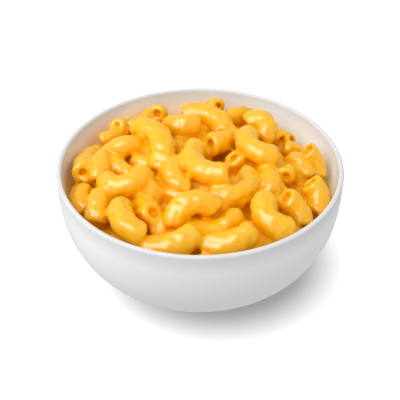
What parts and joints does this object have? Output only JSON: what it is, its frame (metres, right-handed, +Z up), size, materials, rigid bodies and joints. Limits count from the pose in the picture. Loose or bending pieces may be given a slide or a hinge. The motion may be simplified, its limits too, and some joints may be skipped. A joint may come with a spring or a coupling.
{
  "type": "mac and cheese",
  "caption": "Small round white bowl heaped with elbow macaroni in glossy yellow cheese sauce, standing on a low foot ring.",
  "frame": {"origin": "on the table, under the middle of the bowl's foot ring", "axes": "+Z up out of the bowl; -Y is the side nearest the viewer and +X the viewer's right"},
  "size_m": [0.12, 0.12, 0.0597],
  "materials": {
    "white_glaze": "smooth white glaze",
    "cheese_sauce": "elbow macaroni coated in glossy cheese sauce"
  },
  "bodies": {
    "root": {"bowl": "white_glaze", "macaroni_heap": "cheese_sauce"}
  },
  "joints": []
}
